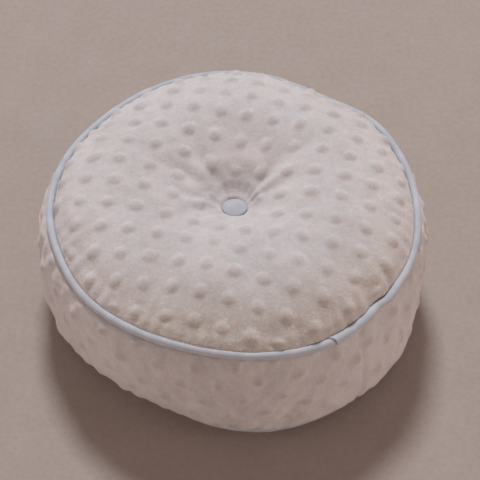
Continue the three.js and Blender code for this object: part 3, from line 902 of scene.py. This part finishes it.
def paintedWarmShadeBySeam(points, flats, kinds):
    azimuth = np.degrees(np.arctan2(points[:, 1], points[:, 0]))
    outer = smooth(np.hypot(*flats.T) / crownLength, *plush["paintedWarmShadeReach"])
    return np.where(kinds == 0, aroundTable(paintedWarmShadeRows, "cast")(azimuth).clip(0) * outer, 0)


# Painted light: in the well behind the button the cloth is painted lighter, where the wall that faces the eye
# lies in shade, and the dots there get less painted shade.
def paintedWellLightShares(flats, kinds):
    radius = np.hypot(*flats.T)
    behind = (0.5 + 0.5 * flats[:, 1] / radius.clip(1)) ** plush["paintedWellLightNarrows"]
    return np.where(kinds == 0, behind * between(radius, *plush["paintedWellLightReach"]), 0)


paintedWellLight = paintedWellLightShares(flats, kinds)
# Less painted shade on the dots where the well is painted lighter.
paintedDotShadeWeights = paintedDotShadeWeights * (1 - plush["dotShadeLessInWellLight"] * paintedWellLight)
coverPiece = newObject("plush_cover", plainMesh("plush_cover", points, faces))
coverPiece.data.shade_smooth()
# The cover carries its painted light and shade in attributes: painted shade on the dots, painted warm shade
# by the near seam, and painted light in the well.
for name, values in (("raised", paintedDotShadeWeights.clip(0)), ("cast", paintedWarmShadeBySeam(points, flats, kinds)), ("paintedWellLight", paintedWellLight)):
    layer = coverPiece.data.attributes.new(name, "FLOAT", "POINT")
    layer.data.foreach_set("value", values.astype(np.float32))
coverPiece.data.materials.append(plushMaterial(plush))
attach(coverPiece, "root")
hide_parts("cushion_body")
print("cover made")

# The piping: a satin bias strip, folded over a cord. Its ends lap at the front right, where the outer end is
# folded under, and the ring has a dent further right where the cord was bent.
piping = {
    "radius": 3.3,
    "steps": 1200,
    "sides": 18,
    "lapAzimuth": 300.6,
    "lowerLapAzimuth": 77.0,
    "lapSweep": 26.0,  # degrees
    "lapGrowth": 0.85,
    "lapSlant": 2.2,  # mm along the ring from one side of it to the other
    "lapBeside": 0.55,  # share of its growth beside the cord, where it is all of it on top
    "foldHeight": 0.4,
    "foldPlace": 1.0,  # mm past the end
    "foldWidth": 0.8,
    "lowerLapShare": 0.4,  # the lap of the lower piping is flatter, as the band lies close over it
    "shadePlace": -0.4,  # painted shade in the crevice before the fold
    "shadeWidth": 0.62,
    "dentAzimuth": 322.6,
    "dentDepth": 0.55,
    "dentLength": 3.5,  # mm
    "unevenness": 0.12,
    "unevenCount": 40,  # round the whole seam
    "dark": "#b4b8c2",
    "light": "#d0d2da",
    # painted shade in the crevice before the fold of the lap
    "paintedLapShadeColour": "#7c7c87",
    "ribPitch": 1.3,  # mm; the real ribs are finer, and are drawn this coarse so that they show
    "ribSlant": 1.9,  # radians for each mm of height
    "ribDepth": 0.07,
}


# The cord is swept round the seam by Geometry Nodes.
def cordTree():
    tree = bpy.data.node_groups.new("corded_piping", "GeometryNodeTree")
    for name, kind, way in (
        ("Seam line", "NodeSocketGeometry", "INPUT"),
        ("Cord radius", "NodeSocketFloat", "INPUT"),
        ("Sides", "NodeSocketInt", "INPUT"),
        ("Satin", "NodeSocketMaterial", "INPUT"),
        ("Piping", "NodeSocketGeometry", "OUTPUT"),
    ):
        tree.interface.new_socket(name, in_out=way, socket_type=kind)
    given = addNode(tree, "NodeGroupInput").outputs
    line = addNode(tree, "GeometryNodeMeshToCurve", {}, {"Mesh": given["Seam line"]})
    level = addNode(tree, "GeometryNodeSetCurveNormal", {"mode": "Z_UP"}, {"Curve": line.outputs[0]})
    sizes = {"Radius": given["Cord radius"], "Resolution": given["Sides"]}
    section = addNode(tree, "GeometryNodeCurvePrimitiveCircle", {}, sizes)
    lines = {"Curve": level.outputs[0], "Profile Curve": section.outputs[0]}
    swept = addNode(tree, "GeometryNodeCurveToMesh", {}, lines)
    smoothed = addNode(tree, "GeometryNodeSetShadeSmooth", {}, {"Geometry": swept.outputs[0]})
    real = addNode(tree, "GeometryNodeRealizeInstances", {}, {"Geometry": smoothed.outputs[0]})
    cloth = {"Geometry": real.outputs[0], "Material": given["Satin"]}
    covered = addNode(tree, "GeometryNodeSetMaterial", {}, cloth)
    addNode(tree, "NodeGroupOutput", {}, {"Piping": covered.outputs[0]})
    return tree


# How far the satin stands off the cord: its ends lap, the upper one is folded under, and it has a dent. It
# also gives the share of painted shade in the crevice before the fold.
def pipingRelief(p, azimuth, turn, lapAzimuth, dented, seed):
    along = (azimuth - lapAzimuth) * math.radians(1) * form["seamRadius"]
    length = 2 * math.pi * form["seamRadius"]
    past = (along - p["lapSlant"] * np.cos(turn) + length / 2) % length - length / 2
    sweep = math.radians(p["lapSweep"]) * form["seamRadius"]
    lap = ((past > 0) & (past < sweep)) * p["lapGrowth"] * (1 - (past / sweep) ** 2).clip(0)
    lap += p["foldHeight"] * np.exp(-(((past - p["foldPlace"]) / p["foldWidth"]) ** 2))
    lap *= p["lapBeside"] + (1 - p["lapBeside"]) * np.sin(turn).clip(0)
    lap *= 1 if dented else p["lowerLapShare"]
    relief = lap + p["unevenness"] * puckers(azimuth, p["unevenCount"], seed)
    if dented:
        off = np.radians(angleFrom(azimuth, p["dentAzimuth"])) * form["seamRadius"]
        relief -= p["dentDepth"] * np.exp(-((off / p["dentLength"]) ** 2))
    return relief, np.exp(-(((past - p["shadePlace"]) / p["shadeWidth"]) ** 2))


def pipingRing(name, seam, tree, material, lapAzimuth, dented, seed):
    p = piping
    azimuth = np.arange(p["steps"]) * 360 / p["steps"]
    line = bpy.data.meshes.new(name)
    corners = inSpace(*seam(azimuth), azimuth) * mm
    line.from_pydata(corners.tolist(), [(i, (i + 1) % p["steps"]) for i in range(p["steps"])], [])
    ring = newObject(name, line)
    sweep = ring.modifiers.new("cord", "NODES")
    sweep.node_group = tree
    sizes = {"Cord radius": p["radius"] * mm, "Sides": p["sides"], "Satin": material}
    for socket in tree.interface.items_tree:
        if socket.name in sizes:
            sweep[socket.identifier] = sizes[socket.name]
    made = bpy.data.meshes.new_from_object(ring.evaluated_get(bpy.context.evaluated_depsgraph_get()))
    ring.modifiers.remove(sweep)
    ring.data = made
    made.name = name
    placed = np.array([v.co for v in made.vertices]) / mm
    azimuth = np.degrees(np.arctan2(placed[:, 1], placed[:, 0])) % 360
    radius, height = seam(azimuth)
    turn = np.arctan2(placed[:, 2] - height, np.hypot(placed[:, 0], placed[:, 1]) - radius)
    relief, paintedLapShade = pipingRelief(p, azimuth, turn, lapAzimuth, dented, seed)
    thick = p["radius"] + relief
    placed = inSpace(radius + thick * np.cos(turn), height + thick * np.sin(turn), azimuth)
    made.vertices.foreach_set("co", (placed * mm).astype(np.float32).ravel())
    # The piping carries its painted shade by the lap as an attribute.
    made.attributes.new("paintedLapShade", "FLOAT", "POINT").data.foreach_set("value", paintedLapShade.astype(np.float32))
    made.update()
    return ring


# Satin bias strip: polyester satin, closely woven, so it shines softly and keeps a fine slanting rib.
def satinMaterial(p):
    material, tree, place = newMaterial("satin_bias_strip")
    parts = addNode(tree, "ShaderNodeSeparateXYZ", {}, {0: place}).outputs
    azimuth = addNode(tree, "ShaderNodeMath", {"operation": "ARCTAN2"}, {0: parts["Y"], 1: parts["X"]})
    ribCount = round(2 * math.pi * form["seamRadius"] / p["ribPitch"])
    phase = addedUp(tree, (parts["Z"], p["ribSlant"] / mm), (azimuth.outputs[0], ribCount))
    ribs = addNode(tree, "ShaderNodeMath", {"operation": "SINE"}, {0: phase}).outputs[0]
    worn = addNode(tree, "ShaderNodeTexNoise", {"Scale": 1 / (14 * mm), "Detail": 3.0}, {"Vector": place})
    thread = addNode(tree, "ShaderNodeTexNoise", {"Scale": 1 / (1.2 * mm), "Detail": 2.0}, {"Vector": place})
    mixed = addedUp(tree, (worn.outputs["Fac"], 1.0), (ribs, 0.17))
    colour = shadedBy(tree, mixed, p["dark"], p["light"], 0.2, 0.8)
    # Painted shade in the crevice before the fold of the lap.
    paintedLapShadeShare = addNode(tree, "ShaderNodeAttribute", {"attribute_name": "paintedLapShade"}).outputs["Fac"]
    settings = {"data_type": "RGBA", 7: hexColour(p["paintedLapShadeColour"])}
    colour = addNode(tree, "ShaderNodeMix", settings, {0: paintedLapShadeShare, 6: colour}).outputs[2]
    settings = {"Roughness": 0.62, "Specular IOR Level": 0.35, "Sheen Weight": 0.25, "Sheen Roughness": 0.35}
    relief = addedUp(tree, (ribs, 1.0), (thread.outputs["Fac"], 0.8))
    finish(tree, colour, relief, p["ribDepth"], 0.5, settings)
    return material


satin = satinMaterial(piping)
cord = cordTree()
for name, node, seam, lapAzimuth, seed in (
    ("piping_upper", "piping_top", topSeam, piping["lapAzimuth"], 31),
    ("piping_lower", "piping_bottom", bottomSeam, piping["lowerLapAzimuth"], 32),
):
    ring = pipingRing(name, seam, cord, satin, lapAzimuth, node == "piping_top", seed)
    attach(ring, "root")
    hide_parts(node)
print("piping made")

# The button: a shell covered in thin cloth, which is drawn over its rim and gathered underneath.
button = {
    "radius": 9.95,
    "base": 111.7,
    "rimHeight": 1.5,
    "thickness": 4.05,
    "edge": 0.985,  # share of the radius where the rim ends above and below
    "edgeHeight": 0.35,
    "doming": 2.6,
    "rings": 26,
    "sides": 120,
    "gathers": 22,
    "gatherDepth": 0.16,
    "gathered": (0.4, 2.6),  # mm above its base, over which the gathers fade
    "seed": 9,
    "thread": 0.7,  # mm
    "threadDepth": 0.08,
    "dark": "#b7b7c1",
    "light": "#c5c5ce",
}


def coveredButton(b):
    profile = [(0.0, 0.0), (0.7, 0.0), (0.88, 0.15)]
    sideSteps = 7
    for k in range(sideSteps):
        turn = -0.5 + k / (sideSteps - 1)
        out = b["edge"] + (1 - b["edge"]) * math.cos(turn * math.pi)
        profile.append((out, b["edgeHeight"] + (turn + 0.5) * b["rimHeight"]))
    start = b["edgeHeight"] + b["rimHeight"]
    for k in range(1, b["rings"] + 1):
        share = 1 - k / b["rings"]
        profile.append((b["edge"] * share, start + (b["thickness"] - start) * (1 - share ** b["doming"])))
    sides = b["sides"]
    turned = np.radians(np.arange(sides) * 360 / sides)
    rng = np.random.default_rng(b["seed"])
    fold = np.zeros(sides)
    for _ in range(5):
        waves = int(b["gathers"] * rng.uniform(0.7, 1.4))
        fold += np.sin(turned * waves + rng.uniform(0, 6.28)) / 2.2
    placed = []
    for share, height in profile[1:-1]:
        low = 1 - smooth(height, *b["gathered"])
        radius = b["radius"] * share + fold * b["gatherDepth"] * low * (share > 0.8)
        placed.append(inSpace(radius, np.full(sides, b["base"] + height), np.degrees(turned)))
    count = len(placed)
    placed = np.vstack([*placed, [[0, 0, b["base"]]], [[0, 0, b["base"] + profile[-1][1]]]])
    placed[:, 2] -= math.tan(math.radians(fuller["buttonTilt"])) * placed[:, 1]
    faces = []
    for row in range(count - 1):
        for k in range(sides):
            m = (k + 1) % sides
            faces.append((row * sides + k, row * sides + m, (row + 1) * sides + m, (row + 1) * sides + k))
    for k in range(sides):
        m = (k + 1) % sides
        faces.append((m, k, count * sides))
        faces.append(((count - 1) * sides + k, (count - 1) * sides + m, count * sides + 1))
    mesh = plainMesh("covered_button", placed, faces)
    mesh.shade_smooth()
    return newObject("covered_button", mesh)


# Button cloth: thin plain-woven polyester, matt, with a thread that just shows.
def buttonMaterial(b):
    material, tree, place = newMaterial("plain_woven_button_cloth")
    threads = {}
    for way in ("X", "Y"):
        settings = {"bands_direction": way, "Scale": 2 * math.pi / (20 * b["thread"] * mm), "Distortion": 0.4}
        threads[way] = addNode(tree, "ShaderNodeTexWave", settings, {"Vector": place}).outputs["Fac"]
    weave = addNode(tree, "ShaderNodeMath", {"operation": "MULTIPLY"}, {0: threads["X"], 1: threads["Y"]})
    worn = addNode(tree, "ShaderNodeTexNoise", {"Scale": 1 / (9 * mm), "Detail": 3.0}, {"Vector": place})
    colour = shadedBy(tree, worn.outputs["Fac"], b["dark"], b["light"], 0.3, 0.7)
    settings = {"Roughness": 0.7, "Sheen Weight": 0.15, "Sheen Roughness": 0.4}
    finish(tree, colour, weave.outputs[0], b["threadDepth"], 0.35, settings)
    return material


buttonPiece = coveredButton(button)
buttonPiece.data.materials.append(buttonMaterial(button))
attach(buttonPiece, "root")
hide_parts("button_top")
print("button made")

# The room: a plain pale floor and soft light from behind and above.
room = {
    "floorWidth": 12000.0,  # mm
    "mottle": 32.0,  # mm
    "grain": 4.5,
    "grainDepth": 0.4,
    "dark": "#ae9f98",
    "light": "#b8aaa5",
}


def floorMaterial(r):
    material, tree, place = newMaterial("matt_painted_board")
    board = {}
    for name, detail in (("mottle", 4.0), ("grain", 3.0)):
        settings = {"Scale": 1 / (r[name] * mm), "Detail": detail}
        board[name] = addNode(tree, "ShaderNodeTexNoise", settings, {"Vector": place}).outputs["Fac"]
    mixed = addedUp(tree, (board["mottle"], 0.5), (board["grain"], 0.9))
    colour = shadedBy(tree, mixed, r["dark"], r["light"], 0.4, 1.0)
    settings = {"Roughness": 0.9, "Specular IOR Level": 0.2}
    finish(tree, colour, board["grain"], r["grainDepth"], 0.35, settings)
    return material


half = room["floorWidth"] / 2
corners = np.array([(-half, -half, 0), (half, -half, 0), (half, half, 0), (-half, half, 0)])
floor = newObject("floor", plainMesh("floor", corners, [(0, 1, 2, 3)]))
floor.data.materials.append(floorMaterial(room))


# A lamp as a lit disc, all in metres and watts.
def areaLight(name, place, aim, size, power, colour):
    lamp = bpy.data.lights.new(name, "AREA")
    lamp.shape = "DISK"
    lamp.size = size
    lamp.energy = power
    lamp.color = hexColour(colour)[:3]
    made = newObject(name, lamp)
    made.location = place
    made.rotation_euler = (Vector(aim) - Vector(place)).to_track_quat("-Z", "Y").to_euler()


areaLight("window", (-0.3, 2.2, 3.75), (0, 0, 0.08), 0.95, 122, "#f5fbff")
areaLight("wallLeft", (-2.4, -0.3, 0.36), (0, 0, 0.06), 0.68, 8.2, "#fff4ee")
areaLight("wallRight", (2.4, -0.3, 0.36), (0, 0, 0.06), 0.68, 11.3, "#ffefe6")
areaLight("room", (0.2, -2.6, 0.38), (0, 0, 0.05), 0.72, 7.9, "#ffe6d6")
scene = bpy.context.scene
world = scene.world = bpy.data.worlds.new("room_light")
world.use_nodes = True
world.node_tree.nodes.clear()
sky = addNode(world.node_tree, "ShaderNodeBackground", {"Color": hexColour("#fae7db"), "Strength": 0.27})
addNode(world.node_tree, "ShaderNodeOutputWorld", {}, {"Surface": sky.outputs[0]})
scene.view_settings.view_transform = "Standard"

bpy.context.view_layer.update()
